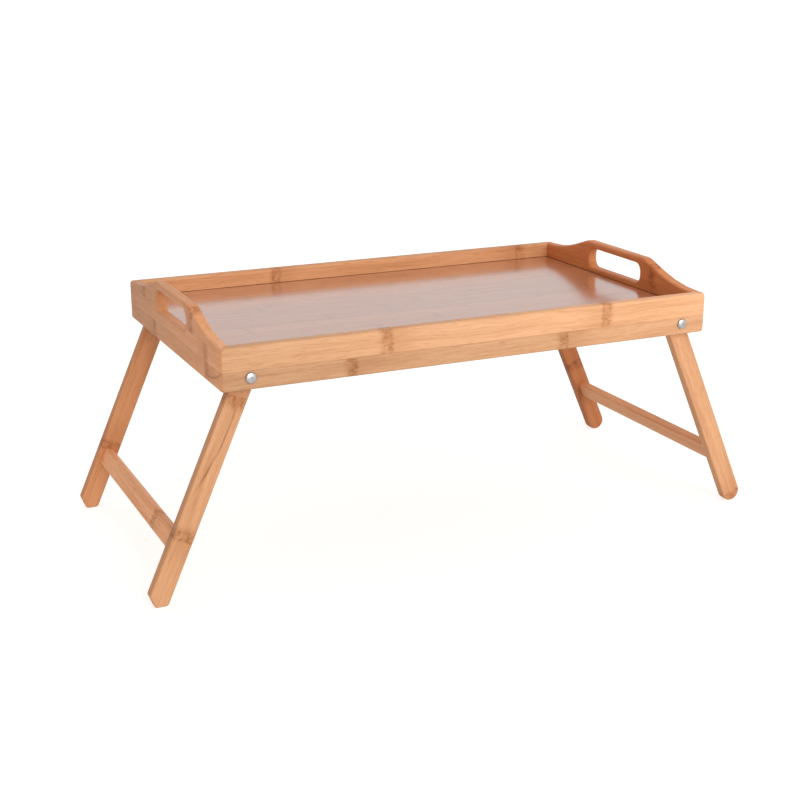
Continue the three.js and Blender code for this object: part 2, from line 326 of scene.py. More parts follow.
def rod(name, centre, direction, radius, length, steps=40):
    """A plain round cutting rod, centred on a point."""
    half = length / 2
    made = turned(name, [(0, -half), (radius, -half), (radius, half), (0, half)], steps)
    turn = Vector(direction).to_track_quat("Z", "Y").to_matrix().to_4x4()
    made.data.transform(Matrix.Translation(centre) @ turn)
    return made


def carve(piece, cutters, operation="DIFFERENCE"):
    """Cuts each cutter out of piece, or keeps only the overlap, and deletes the cutters."""
    for cutter in cutters:
        modifier = piece.modifiers.new("carve", "BOOLEAN")
        modifier.operation = operation
        modifier.solver = "EXACT"
        modifier.object = cutter
        bpy.context.view_layer.update()
        evaluated = piece.evaluated_get(bpy.context.evaluated_depsgraph_get())
        result = bpy.data.meshes.new_from_object(evaluated)
        piece.modifiers.clear()
        old, piece.data = piece.data, result
        bpy.data.meshes.remove(old)
        result.name = piece.name
        bpy.data.objects.remove(cutter)
    return piece


def smooth(piece, kind):
    """Smooth shading that keeps real corners sharp and flat faces flat."""
    piece.data.shade_smooth()
    piece.data.set_sharp_from_angle(angle=math.radians(SHARP_ANGLE[kind]))
    weighted = piece.modifiers.new("weighted_normals", "WEIGHTED_NORMAL")
    weighted.keep_sharp = True
    return piece


def placed(piece, matrix, body, node, material):
    """Puts a finished piece in place, on its body and in its CAD node's stead.

    Its mesh is moved, so that its object stays at the origin as the CAD nodes do. The materials read the
    piece's own axes from the mesh: "grain" is each point's place there, "end_grain" how squarely a face
    looks along the grain.
    """
    mesh = piece.data
    grain = mesh.attributes.new("grain", "FLOAT_VECTOR", "POINT")
    grain.data.foreach_set("vector", [value for vertex in mesh.vertices for value in vertex.co])
    end_grain = mesh.attributes.new("end_grain", "FLOAT", "FACE")
    end_grain.data.foreach_set("value", [abs(face.normal.x) for face in mesh.polygons])
    mesh.transform(matrix)
    give_material(piece, material)
    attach(piece, body)
    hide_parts(node)
    return piece


def give_material(piece, material):
    """Makes this the piece's only material."""
    piece.data.materials.clear()
    piece.data.materials.append(material)


def axes(x_axis, y_axis, z_axis, origin):
    """The matrix that takes a piece's own axes to these directions."""
    matrix = Matrix((x_axis, y_axis, z_axis)).transposed().to_4x4()
    matrix.translation = origin
    return matrix


def facing(outward, origin):
    """A board's place: its own z points outwards, its y points up."""
    return axes(UP.cross(outward), UP, outward, origin)


# ---------- shader helpers ----------
class Nodes:
    """Short ways to fill a node tree. A value is a number, or the output of another node."""

    def __init__(self, tree):
        self.tree = tree

    def node(self, kind, **settings):
        made = self.tree.nodes.new(kind)
        for key, value in settings.items():
            setattr(made, key, value)
        return made

    def plug(self, socket, value):
        if isinstance(value, bpy.types.NodeSocket):
            self.tree.links.new(value, socket)
        else:
            socket.default_value = value

    def math(self, operation, a, b=0.0, c=0.0):
        made = self.node("ShaderNodeMath", operation=operation)
        for socket, value in zip(made.inputs, (a, b, c)):
            self.plug(socket, value)
        return made.outputs[0]

    def times(self, a, b):
        return self.math("MULTIPLY", a, b)

    def step(self, value, low, high, out_low=0.0, out_high=1.0):
        """Smooth change from out_low to out_high as value goes from low to high."""
        made = self.node("ShaderNodeMapRange", interpolation_type="SMOOTHSTEP")
        names = ("Value", "From Min", "From Max", "To Min", "To Max")
        for name, number in zip(names, (value, low, high, out_low, out_high)):
            self.plug(made.inputs[name], number)
        return made.outputs["Result"]

    def mix(self, factor, a, b, blend="MIX"):
        """The colour that goes from a to b as factor goes from 0 to 1."""
        made = self.node("ShaderNodeMix", data_type="RGBA", blend_type=blend)
        # a mix node has hidden inputs for its other kinds of data
        factor_input, colour_inputs = made.inputs[0], made.inputs[6:8]
        self.plug(factor_input, factor)
        for socket, colour in zip(colour_inputs, (a, b)):
            self.plug(socket, (*colour, 1.0) if isinstance(colour, tuple) else colour)
        return made.outputs[2]

    def blend(self, factor, a, b):
        """The number that goes from a to b as factor goes from 0 to 1."""
        made = self.node("ShaderNodeMix", data_type="FLOAT")
        factor_input, number_inputs = made.inputs[0], made.inputs[2:4]
        self.plug(factor_input, factor)
        for socket, number in zip(number_inputs, (a, b)):
            self.plug(socket, number)
        return made.outputs[0]

    def vector(self, x, y, z):
        made = self.node("ShaderNodeCombineXYZ")
        for socket, value in zip(made.inputs, (x, y, z)):
            self.plug(socket, value)
        return made.outputs[0]

    def split(self, vector):
        made = self.node("ShaderNodeSeparateXYZ")
        self.plug(made.inputs[0], vector)
        return made.outputs

    def scaled(self, vector, x, y, z, shift=0.0):
        """The vector with each axis scaled; shift moves it along x."""
        made = self.node("ShaderNodeMapping")
        self.plug(made.inputs["Vector"], vector)
        made.inputs["Scale"].default_value = (x, y, z)
        made.inputs["Location"].default_value = (shift, 0.0, 0.0)
        return made.outputs[0]

    def in_mm(self, vector):
        return self.scaled(vector, 1 / mm, 1 / mm, 1 / mm)

    def noise(self, vector, detail=3.0, roughness=0.5):
        made = self.node("ShaderNodeTexNoise")
        self.plug(made.inputs["Vector"], vector)
        made.inputs["Scale"].default_value = 1.0
        made.inputs["Detail"].default_value = detail
        made.inputs["Roughness"].default_value = roughness
        return made.outputs["Fac"]

    def fibres(self, point, along, across, detail=3.0, roughness=0.5, shift=0.0):
        """Noise drawn out along the grain; along and across are how much of it there is per millimetre."""
        return self.noise(self.scaled(point, along, across, across, shift), detail, roughness)

    def strayed(self, value, noise, most):
        """The value moved by noise, to either side, over a width of most."""
        return self.math("MULTIPLY_ADD", self.math("SUBTRACT", noise, 0.5), most, value)

    def white(self, value):
        made = self.node("ShaderNodeTexWhiteNoise", noise_dimensions="1D")
        self.plug(made.inputs["W"], value)
        return made.outputs["Value"]

    def coordinates(self, output):
        return self.node("ShaderNodeTexCoord").outputs[output]

    def seen_directly(self):
        """1 where the camera itself sees this, and 0 where it only gives light or is reflected."""
        return self.node("ShaderNodeLightPath").outputs["Is Camera Ray"]


class Shader(Nodes):
    """One node material around a Principled BSDF."""

    def __init__(self, name):
        self.material = bpy.data.materials.new(name)
        self.material.use_nodes = True
        super().__init__(self.material.node_tree)
        self.bsdf = self.tree.nodes["Principled BSDF"]

    def attribute(self, name, output):
        return self.node("ShaderNodeAttribute", attribute_name=name).outputs[output]

    def bump(self, height, distance):
        made = self.node("ShaderNodeBump")
        made.inputs["Distance"].default_value = distance
        self.plug(made.inputs["Height"], height)
        return made.outputs[0]

    def set(self, **inputs):
        """Sets inputs of the Principled BSDF, named with _ for each space: a number, a colour or a socket."""
        for name, value in inputs.items():
            self.plug(self.bsdf.inputs[name.replace("_", " ")], value)


# ---------- bamboo; every length in millimetres ----------
BAMBOO_LIGHT = (0.88, 0.505, 0.280)
BAMBOO_MIDDLE = (0.78, 0.420, 0.220)
BAMBOO_DARK = (0.55, 0.235, 0.092)
BAMBOO_RING = (0.28, 0.090, 0.026)
GLUE_LINE = (0.40, 0.160, 0.058)
FAR = 1000.0
# patterns in the wood; along and across the grain is how much of each there is per millimetre
BROAD = dict(along=0.007, across=0.13, detail=2.0)
STREAK = dict(along=0.013, across=0.60, detail=4.0, roughness=0.62)
FLECK = dict(along=0.075, across=1.05, detail=3.0, roughness=0.6)
FIBRE = dict(along=0.10, across=4.5, detail=2.0, roughness=0.6)
SPECKLE = dict(along=0.30, across=0.48, detail=4.0, roughness=0.62)
BLOTCH = dict(along=0.09, across=0.15, detail=3.0, roughness=0.6)


def strips_across(s, across, seams):
    """Which strip a point is in, counted from the lowest, and how far it is from the nearest glue line."""
    strip, to_seam = 0.0, FAR
    for seam in seams:
        beyond = s.math("SUBTRACT", across, seam)
        strip = s.math("ADD", strip, s.math("GREATER_THAN", beyond, 0.0))
        to_seam = s.math("MINIMUM", to_seam, s.math("ABSOLUTE", beyond))
    return strip, to_seam


def past_nearest_ring(s, along, strip, rings):
    """How far along the grain a point is past the nearest ring of its own strip, the way the cane grew."""
    past = FAR
    for ring_x, ring_strip, growth in rings:
        other_strip = s.math("ABSOLUTE", s.math("SUBTRACT", strip, ring_strip))
        beyond = s.times(s.math("SUBTRACT", along, ring_x), growth)
        here = s.math("MULTIPLY_ADD", other_strip, FAR, beyond)
        nearer = s.math("LESS_THAN", s.math("ABSOLUTE", here), s.math("ABSOLUTE", past))
        past = s.blend(nearer, past, here)
    return past


def arched_vein(s, along, across, top_x, top_y, bow, first_x, last_x):
    """A dark vein that bows across the grain: highest at (top_x, top_y), fading out at first_x and last_x."""
    edge, core = 1.7, 0.1
    fade_in, fade_out = 10.0, 30.0
    past_top = s.math("SUBTRACT", along, top_x)
    fall = s.times(s.times(past_top, past_top), bow)
    off_curve = s.math("ABSOLUTE", s.math("ADD", s.math("SUBTRACT", across, top_y), fall))
    run = s.times(s.step(along, first_x, first_x + fade_in), s.step(along, last_x, last_x - fade_out))
    return s.times(s.step(off_curve, edge, core), run)


def cane_point(s, point, strip, seed):
    """The point in its own cane, and how far across it lies.

    Each strip's fibres are shifted at random and stray a little across the grain.
    """
    cane_shift, seed_shift, stray = 900.0, 31.0, 9.0
    wander_along, wander_across = 0.011, 0.03
    along, across, deep = s.split(point)
    strip_random = s.white(s.math("ADD", strip, seed))
    shifted = s.math("MULTIPLY_ADD", strip_random, cane_shift, along)
    wander_point = s.vector(s.times(shifted, wander_along), s.times(across, wander_across), seed)
    wander = s.noise(wander_point, detail=2.0)
    strayed = s.strayed(across, wander, stray)
    return s.vector(shifted, strayed, s.math("ADD", deep, seed_shift * seed)), strayed


def ring_marks(s, point, strip, rings, seed):
    """The marks where a ring crosses the cane, each from 0 to 1: tail, band and lines.

    The tail is a faint shade before the ring and the band a blotchy brown after it. The lines are a jagged
    one, a dotted one and the dashes in the band.
    """
    stray, to_dotted_line = 12.0, 7.0
    jag_per_strip, jag_across, jag_deep = 7.3, 0.45, 0.3
    line_edge, line_core = 1.5, 0.2
    tail_start, tail_full, tail_fading, tail_end = -34.0, -3.0, -1.0, 2.0
    band_start, band_full, band_fading, band_end = -4.0, 1.5, 4.0, 14.0
    along, across, deep = s.split(point)
    jag_point = s.vector(s.times(strip, jag_per_strip), s.times(across, jag_across), s.times(deep, jag_deep))
    jag = s.noise(jag_point, detail=4.0, roughness=0.75)
    past = past_nearest_ring(s, along, strip, rings)
    past = s.strayed(past, jag, stray)
    speckle = s.fibres(point, shift=seed, **SPECKLE)
    blotch = s.fibres(point, shift=3.0 * seed, **BLOTCH)
    tail = s.times(s.step(past, tail_start, tail_full), s.step(past, tail_end, tail_fading))
    band = s.times(s.step(past, band_start, band_full), s.step(past, band_end, band_fading))
    band = s.times(band, s.step(blotch, 0.34, 0.62, 0.30, 1.0))
    off_line = s.math("ABSOLUTE", past)
    jagged = s.times(s.step(off_line, line_edge, line_core), s.step(speckle, 0.38, 0.66))
    off_dots = s.math("ABSOLUTE", s.math("SUBTRACT", past, to_dotted_line))
    dotted = s.times(s.step(off_dots, line_edge, line_core), s.step(speckle, 0.48, 0.64, 0.0, 0.8))
    dashes = s.times(s.times(band, s.step(speckle, 0.44, 0.70)), 0.85)
    lines = s.math("MAXIMUM", s.math("MAXIMUM", jagged, dotted), dashes)
    return tail, band, lines


def strip_tone_and_painted_light(s, strip, along, tones_and_painted_light, warmth_and_painted_shade, painted_light_fade, half_run):
    """The colour that a point's strip is multiplied by: its own tone, with painted light and shade for the
    whole piece.
    """
    tone_and_painted_light = tones_and_painted_light[0]
    for place, next_tone_and_painted_light in enumerate(tones_and_painted_light[1:], 1):
        tone_and_painted_light = s.blend(s.math("GREATER_THAN", strip, place - 0.5), tone_and_painted_light, next_tone_and_painted_light)
    if half_run:
        tone_and_painted_light = s.times(tone_and_painted_light, s.math("MULTIPLY_ADD", along, painted_light_fade / half_run, 1.0))
    return s.vector(*[s.times(tone_and_painted_light, warmth_and_painted_shade ** power) for power in range(3)])


def glue_and_mitre_lines(s, point, to_seam, fleck, half_run):
    """The dark lines where strips or boards meet, from 0 to 1."""
    along, _, deep = s.split(point)
    lines = s.times(s.step(to_seam, 0.50, 0.10), s.step(fleck, 0.35, 0.60, 0.15, 1.0))
    if half_run:
        from_mitre = s.math("SUBTRACT", s.math("SUBTRACT", s.math("ABSOLUTE", along), half_run), deep)
        mitre_line = s.step(s.math("ABSOLUTE", from_mitre), 0.45, 0.10, 0.0, 0.7)
        lines = s.math("MAXIMUM", lines, mitre_line)
    return lines


def bamboo(name, seed, rings, seams=(), tones_and_painted_light=(1.0,), warmth_and_painted_shade=1.0, painted_light_fade=0.0, veins=(), half_run=None):
    """Clear-lacquered bamboo strips glued edge to edge, with the grain along the piece's own x.

    Places are in the piece's own axes. seams are the y of the glue lines, tones the brightness of each strip
    from the lowest, and rings are (x, strip, growth) for each ring of the canes, where growth is +1 or -1:
    the way its brown band lies. The tones also hold painted light and shade: a piece that stands in shade is
    made darker, one in light brighter. A warmth below 1 is a browner cane; it is also painted shade, which
    browns the pieces that stand in shade. veins are the numbers of arched_vein. half_run is half the length
    of a board that ends in mitres, whose outer face is z = 0; such a board is brighter by fade at its +x end
    and darker by fade at the other, a painted gradient of light along it.
    """
    s = Shader(name)
    point = s.in_mm(s.attribute("grain", "Vector"))
    along, across, _ = s.split(point)
    strip, to_seam = strips_across(s, across, seams)
    cane, strayed = cane_point(s, point, strip, seed)
    broad, streak = s.fibres(cane, **BROAD), s.fibres(cane, **STREAK)
    fleck, fibre = s.fibres(cane, **FLECK), s.fibres(cane, **FIBRE)
    tail, band, lines = ring_marks(s, point, strip, rings, seed)
    seam = glue_and_mitre_lines(s, point, to_seam, fleck, half_run)
    end_grain = s.step(s.attribute("end_grain", "Fac"), 0.15, 0.80)

    colour = s.mix(s.step(streak, 0.30, 0.70), BAMBOO_LIGHT, BAMBOO_MIDDLE)
    # (noise, level where it starts to darken, level where it is darkest, how dark it gets)
    shades = ((broad, 0.40, 0.75, 0.38), (fleck, 0.48, 0.72, 0.42), (fibre, 0.55, 0.78, 0.30))
    for noise, start, full, most in shades:
        colour = s.mix(s.step(noise, start, full, 0.0, most), colour, BAMBOO_DARK)
    for vein in veins:
        strength = s.step(streak, 0.30, 0.60, 0.25, 0.65)
        colour = s.mix(s.times(arched_vein(s, along, strayed, *vein), strength), colour, BAMBOO_RING)
    # (mark, how strong it gets, its colour)
    ring_shades = ((tail, 0.30, BAMBOO_DARK), (band, 0.90, BAMBOO_DARK), (lines, 0.66, BAMBOO_RING))
    for mark, most, paint in ring_shades:
        colour = s.mix(s.times(mark, most), colour, paint)
    # painted light and shade, together with the strips' own tones: the whole piece is darkened, browned or
    # brightened
    colour = s.mix(1.0, colour, strip_tone_and_painted_light(s, strip, along, tones_and_painted_light, warmth_and_painted_shade, painted_light_fade, half_run), "MULTIPLY")
    for mark, most, paint in ((end_grain, 0.35, BAMBOO_DARK), (seam, 0.50, GLUE_LINE)):
        colour = s.mix(s.times(mark, most), colour, paint)

    rough = s.math("MULTIPLY_ADD", end_grain, 0.15, s.step(fleck, 0.2, 0.8, 0.44, 0.56))
    # flecks and fibres stand out, and so does a ring's band; its lines and the glue lines are sunk
    height = s.times(fleck, 0.35)
    for mark, rise in ((fibre, 0.30), (lines, -0.5), (seam, -0.6), (band, 0.5)):
        height = s.math("MULTIPLY_ADD", mark, rise, height)
    s.set(Base_Color=colour, Roughness=rough, Normal=s.bump(height, 0.12 * mm), IOR=1.5)
    s.set(Specular_IOR_Level=0.28, Coat_Weight=0.06, Coat_Roughness=0.22)
    return s.material


def lacquered_panel():
    """The glossy panel: flat bamboo strips running along the tray under a thick clear lacquer."""
    s = Shader("lacquered_panel")
    strip_width, cane_shift, seed = 18.0, 1700.0, 40.0
    half_ring_spacing, ring_shift, ring_stray = 115.0, 3100.0, 7.0
    light, middle, dark = (0.58, 0.245, 0.124), (0.50, 0.197, 0.094), (0.34, 0.118, 0.051)
    along, across, deep = s.split(s.in_mm(s.coordinates("Object")))
    strip = s.math("FLOOR", s.math("DIVIDE", across, strip_width))
    strip_random = s.white(s.math("ADD", strip, seed))
    cane = s.vector(s.math("MULTIPLY_ADD", strip_random, cane_shift, along), across, deep)
    streak = s.fibres(cane, 0.010, 0.45, detail=4.0, roughness=0.6)
    fleck = s.fibres(cane, 0.035, 0.9, detail=3.0, roughness=0.6)
    jag = s.fibres(cane, 0.0, 0.5, detail=3.0, roughness=0.7)
    ring_at = s.math("MULTIPLY_ADD", strip_random, ring_shift, along)
    ring_at = s.math("WRAP", ring_at, half_ring_spacing, -half_ring_spacing)
    to_ring = s.math("ABSOLUTE", s.strayed(ring_at, jag, ring_stray))
    line, shade_beside_it = s.step(to_ring, 1.6, 0.3, 0.0, 0.5), s.step(to_ring, 9.0, 1.0, 0.0, 0.3)
    shade = s.step(strip_random, 0.0, 1.0, 0.90, 1.08)
    colour = s.mix(s.step(streak, 0.30, 0.72), light, middle)
    colour = s.mix(s.step(fleck, 0.50, 0.70, 0.0, 0.62), colour, dark)
    colour = s.mix(s.math("ADD", line, shade_beside_it), colour, dark)
    colour = s.mix(1.0, colour, s.vector(shade, shade, shade), "MULTIPLY")

    # the lacquer is only on top, where it's a little thinner in places
    below = s.math("LESS_THAN", s.split(s.coordinates("Normal"))[2], -0.5)
    bare_roughness = 0.55
    rough = s.blend(below, s.step(fleck, 0.2, 0.8, 0.17, 0.24), bare_roughness)
    thinning = s.fibres(cane, 0.014, 0.14, detail=4.0, roughness=0.65)
    lacquer = s.times(s.step(thinning, 0.44, 0.68, 1.0, 0.88), s.math("SUBTRACT", 1.0, below))
    s.set(Base_Color=colour, Roughness=rough, Normal=s.bump(streak, 0.02 * mm), IOR=1.55)
    s.set(Coat_Weight=lacquer, Coat_Roughness=0.15)
    return s.material


def raw_dowel_wood():
    """Unfinished hardwood for the hidden keys and dowels."""
    s = Shader("raw_dowel_wood")
    light, dark = (0.78, 0.62, 0.40), (0.60, 0.43, 0.24)
    point = s.in_mm(s.coordinates("Object"))
    grain = s.noise(s.scaled(point, 1.2, 0.12, 1.2), detail=4.0, roughness=0.6)
    colour = s.mix(s.step(grain, 0.3, 0.7), light, dark)
    rough = s.step(grain, 0.2, 0.8, 0.6, 0.8)
    s.set(Base_Color=colour, Roughness=rough, Normal=s.bump(grain, 0.1 * mm))
    return s.material


def polished_steel(name, head_radius=None):
    """Nickel-plated steel with fine turning marks and a little wear.

    A bolt, whose head_radius is given in millimetres, has painted shade in its dimple and towards its rim:
    a brownish dark that stands in for the head's shadow and the wood reflected there.
    """
    s = Shader(name)
    bright, worn, painted_shade = (0.70, 0.70, 0.71), (0.52, 0.52, 0.54), (0.30, 0.25, 0.20)
    marks_per_mm = 9.0
    dimple_edge, dimple_core, rim_share, painted_shade_most = 1.5, 0.6, 0.76, 0.65
    point = s.in_mm(s.attribute("grain", "Vector"))
    x, y, z = s.split(point)
    radius = s.math("SQRT", s.math("ADD", s.times(x, x), s.times(y, y)))
    turning = s.noise(s.vector(s.times(radius, marks_per_mm), 0.0, s.times(z, marks_per_mm)), detail=2.0)
    blotch = s.fibres(point, 0.5, 0.5, detail=4.0, roughness=0.6)
    colour = s.mix(s.step(blotch, 0.35, 0.7), bright, worn)
    # painted shade and painted reflection: the dimple and the rim are darkened towards a brownish colour
    if head_radius:
        in_dimple = s.step(radius, dimple_edge, dimple_core)
        at_rim = s.step(radius, rim_share * head_radius, head_radius)
        colour = s.mix(s.times(s.math("MAXIMUM", in_dimple, at_rim), painted_shade_most), colour, painted_shade)
    rough = s.math("ADD", s.step(blotch, 0.3, 0.7, 0.26, 0.36), s.times(turning, 0.06))
    s.set(Base_Color=colour, Metallic=1.0, Roughness=rough, Normal=s.bump(turning, 0.01 * mm))
    return s.material


# ---------- tray frame ----------
lower_strip_share = 0.44
middle_strip_width = 16.6 * mm
first_seam = rail_bottom + lower_strip_share * (rail_top - rail_bottom)

# each piece's own bamboo, where tones, warmth and fade also hold painted light and shade;
# rings are (millimetres along the piece's own x, strip from the bottom, growth)
rail_looks = {
    "front": dict(
        seed=3.0,
        tones_and_painted_light=(0.80, 0.965),
        painted_light_fade=0.17,
        rings=((-91, 1, -1), (132, 1, 1), (-125, 0, -1), (92, 0, -1)),
    ),
    "back": dict(
        seed=11.0,
        tones_and_painted_light=(0.80, 0.83),
        warmth_and_painted_shade=0.89,
        rings=((91, 1, 1), (-198, 1, -1), (40, 0, 1), (-170, 0, 1)),
    ),
}
board_looks = {
    "left": dict(
        seed=21.0,
        tones_and_painted_light=(0.91, 0.96, 0.92),
        warmth_and_painted_shade=0.87,
        painted_light_fade=0.18,
        rings=((-96, 2, 1), (61, 2, 1), (103, 1, 1), (-63, 0, 1), (112, 0, -1)),
        veins=((112, 199, -0.008, 98, 185),),
    ),
    # painted shade: the inside of the right board is browned as by the shade inside the tray
    "right": dict(
        seed=29.0,
        tones_and_painted_light=(0.86, 0.90, 0.94),
        warmth_and_painted_shade=0.69,
        rings=((-68, 2, -1), (-70, 1, -1), (35, 0, 1), (-104, 0, 1)),
    ),
}
leg_looks = {
    "left_front": dict(
        seed=41.0,
        tones_and_painted_light=(0.80,),
        warmth_and_painted_shade=0.95,
        rings=((22, 0, 1), (157, 0, -1)),
        veins=((44, 3.6, 0.0021, 28, 120),),
    ),
    "left_back": dict(seed=47.0, tones_and_painted_light=(0.775,), warmth_and_painted_shade=0.82, rings=((149, 0, 1),)),
    "right_front": dict(seed=53.0, tones_and_painted_light=(0.90,), warmth_and_painted_shade=0.96, rings=((214, 0, 1),)),
    # painted shade: this leg stands in the tray's shadow, so it is made much darker and browner
    "right_back": dict(seed=59.0, tones_and_painted_light=(0.59,), warmth_and_painted_shade=0.66, rings=((127, 0, 1),)),
}
stretcher_looks = {
    "left": dict(seed=66.0, tones_and_painted_light=(1.18,), warmth_and_painted_shade=0.93, rings=((-70, 0, 1),)),
    "right": dict(seed=71.0, tones_and_painted_light=(1.02,), warmth_and_painted_shade=0.92, rings=((128, 0, 1),)),
}


def mitre_cutters(half_run):
    """Two wedges beyond a board's 45 degree ends, in the board's own axes, with its outer face at z = 0."""
    beyond = 30 * mm
    made = []
    for end in (-1, 1):
        points = [
            (end * half_run, 0),
            (end * (half_run - stock - beyond), -stock - beyond),
            (end * (half_run + 2 * beyond), -stock - beyond),
            (end * (half_run + 2 * beyond), beyond),
            (end * (half_run + beyond), beyond),
        ]
        wedge = prism("wedge", points, rail_bottom - beyond, handle_top + beyond)
        # drawn as (along, depth) and given height: turn it so that depth is z and height is y
        wedge.data.transform(axes(Vector((1, 0, 0)), Vector((0, 0, 1)), Vector((0, 1, 0)), Vector((0, 0, 0))))
        wedge.data.flip_normals()
        made.append(wedge)
    return made


def groove_cutters():
    """The panel's groove, slightly opened at both lips."""
    lip = 0.4 * mm
    gap = 0.15 * mm
    inner = (half_length - stock, half_depth - stock)
    deep = [value + groove_depth for value in inner]
    lipped = [value + lip for value in inner]
    return [
        frustum("groove", deep, panel_low.z - gap, deep, panel_high.z + gap),
        frustum("upper_lip", lipped, panel_high.z - gap, inner, panel_high.z + lip),
        frustum("lower_lip", inner, panel_low.z - lip, lipped, panel_low.z + gap),
    ]


def frame_board(node, outline_loops, outward, half_run, holes, material):
    """One mitred board of the tray frame. The outline's y is already the height above the floor."""
    board = slab(node + "_wood", outline_loops, stock, board_ease)
    board.data.transform(Matrix.Translation((0, 0, -stock / 2)))
    carve(board, mitre_cutters(half_run))
    reach = half_depth if outward.y else half_length
    place = facing(outward, outward * reach)
    cutters = groove_cutters()
    cutters += [rod("bolt_hole", point, outward, bolt_hole, 4 * stock) for point in holes]
    for cutter in cutters:
        cutter.data.transform(place.inverted())
    carve(board, cutters)
    return placed(smooth(board, "wood"), place, "tray", node, material)


def make_tray_frame():
    """Two rails of two strips and two end boards of three, mitred together round the panel."""
    seams = (first_seam / mm, (first_seam + middle_strip_width) / mm)
    for side, sign in SIDES.items():
        looks = dict(seams=seams[:1], half_run=half_length / mm, **rail_looks[side])
        material = bamboo(f"bamboo_{side}_rail", **looks)
        outward = Vector((0, sign, 0))
        holes = [Vector((x, sign * half_depth, pivot_z)) for x in (-pivot_x, pivot_x)]
        frame_board(f"{side}_rail", [rail_outline()], outward, half_length, holes, material)
    for end, sign in ENDS.items():
        looks = dict(seams=seams, half_run=half_depth / mm, **board_looks[end])
        material = bamboo(f"bamboo_{end}_end_board", **looks)
        outward = Vector((sign, 0, 0))
        loops = [end_board_outline(), slot_outline()]
        frame_board(f"{end}_end_board", loops, outward, half_depth, [], material)


# ---------- leg frames ----------
def leg_axes(end, side_sign, y):
    """A leg's own axes: x down the leg from the pivot, z outwards from the tray's middle."""
    down = Vector((ENDS[end] * math.sin(leg_splay), 0, -math.cos(leg_splay)))
    outward = Vector((0, side_sign, 0))
    return axes(down, outward.cross(down), outward, Vector((ENDS[end] * pivot_x, y, pivot_z)))


def make_leg(end, side):
    """A leg with a hole for its pivot bolt and two blind ones, inside, for the stretcher's dowels."""
    sign = SIDES[side]
    place = leg_axes(end, sign, sign * leg_middle_y)
    node = f"{end}_{side}_leg"
    inward = Vector((-ENDS[end], 0, 0))
    inner_side = 1 if place.to_3x3().col[1].dot(inward) > 0 else -1
    outline = clipped_foot_outline(inner_side) if end == "left" else round_foot_outline()
    leg = slab(node + "_wood", [outline], leg_thickness, leg_ease)
    cutters = [rod("pivot_hole", Vector((0, 0, 0)), UP, bolt_hole, 3 * leg_thickness)]
    for across in (-dowel_spacing / 2, dowel_spacing / 2):
        centre = Vector((stretcher_from_pivot + across, 0, -leg_thickness / 2))
        cutters.append(rod("dowel_hole", centre, UP, dowel_hole, 2 * leg_dowel_depth))
    carve(leg, cutters)
    material = bamboo(f"bamboo_{node}", **leg_looks[f"{end}_{side}"])
    return placed(smooth(leg, "wood"), place, f"{end}_leg_frame", node, material)


def make_stretcher(end):
    """The bar between the two legs of a frame, with two dowel holes in each end."""
    node = f"{end}_stretcher"
    place = leg_axes(end, 1, 0.0)
    down = place.to_3x3().col[0]
    half_span = stretcher_high.y
    half_thickness = stretcher_thickness / 2
    section = rounded_box(stretcher_width / 2, -half_thickness, half_thickness, stretcher_ease)
    bar = slab(node + "_wood", [section], 2 * half_span, stretcher_end_ease)
    # the section is drawn in x, y; turn it so that the bar's grain runs along its own x
    bar.data.transform(Matrix.Rotation(math.pi / 2, 4, "Y") @ Matrix.Rotation(math.pi / 2, 4, "Z"))
    bar_axis = Vector((1, 0, 0))
    cutters = []
    for end_sign in (-1, 1):
        for across in (-dowel_spacing / 2, dowel_spacing / 2):
            centre = Vector((end_sign * half_span, across, 0))
            cutters.append(rod("dowel_hole", centre, bar_axis, dowel_hole, 2 * stretcher_dowel_depth))
    carve(bar, cutters)
    along = Vector((0, 1, 0))
    middle = place.translation + down * stretcher_from_pivot
    matrix = axes(along, down, along.cross(down), middle)
    material = bamboo(f"bamboo_{node}", **stretcher_looks[end])
    return placed(smooth(bar, "wood"), matrix, f"{end}_leg_frame", node, material)


# ---------- pivot hardware: its own z points out of the tray, with z = 0 at the rail's outer face ----------
def pivot_extent(node):
    """Where a piece of the hardware starts and ends along its own z, and its radius."""
    low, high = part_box(node)
    inner, outer = sorted((abs(low.y), abs(high.y)))
    return inner - half_depth, outer - half_depth, (high.x - low.x) / 2


def placed_at_pivot(piece, end, side, node, steel):
    """Puts a piece of the hardware on the tray, at one of its four pivots."""
    outward = Vector((0, SIDES[side], 0))
    place = facing(outward, Vector((ENDS[end] * pivot_x, SIDES[side] * half_depth, pivot_z)))
    return placed(piece, place, "tray", node, steel)


def make_bolt(end, side, steel):
    """A round pin with a domed head, which has a shallow dimple in its middle."""
    node = f"{end}_{side}_pivot_bolt"
    shank_end, head_height, head_radius = pivot_extent(node)
    tip_chamfer = 0.5 * mm
    rim, rim_steps, dome_steps = 0.5 * mm, 4, 10
    dimple, dimple_depth = 1.1 * mm, 0.5 * mm
    # (share of the dimple's radius, share of its depth)
    dimple_shape = ((0.8, 0.6), (0.4, 1), (0, 1))
    profile = [
        (0, shank_end),
        (shank_radius - tip_chamfer, shank_end),
        (shank_radius, shank_end + tip_chamfer),
        (shank_radius, 0),
        (head_radius - rim, 0),
    ]
    for i in range(1, rim_steps + 1):
        angle = math.radians(-90 + 90 * i / rim_steps)
        profile.append((head_radius - rim + rim * math.cos(angle), rim + rim * math.sin(angle)))
    dome = head_height - rim
    last = math.acos(dimple / head_radius)
    for i in range(1, dome_steps + 1):
        angle = last * i / dome_steps
        profile.append((head_radius * math.cos(angle), rim + dome * math.sin(angle)))
    top = profile[-1][1]
    profile += [(dimple * across, top - dimple_depth * down) for across, down in dimple_shape]
    bolt = smooth(turned(node + "_metal", profile), "bolt")
    return placed_at_pivot(bolt, end, side, node, steel)


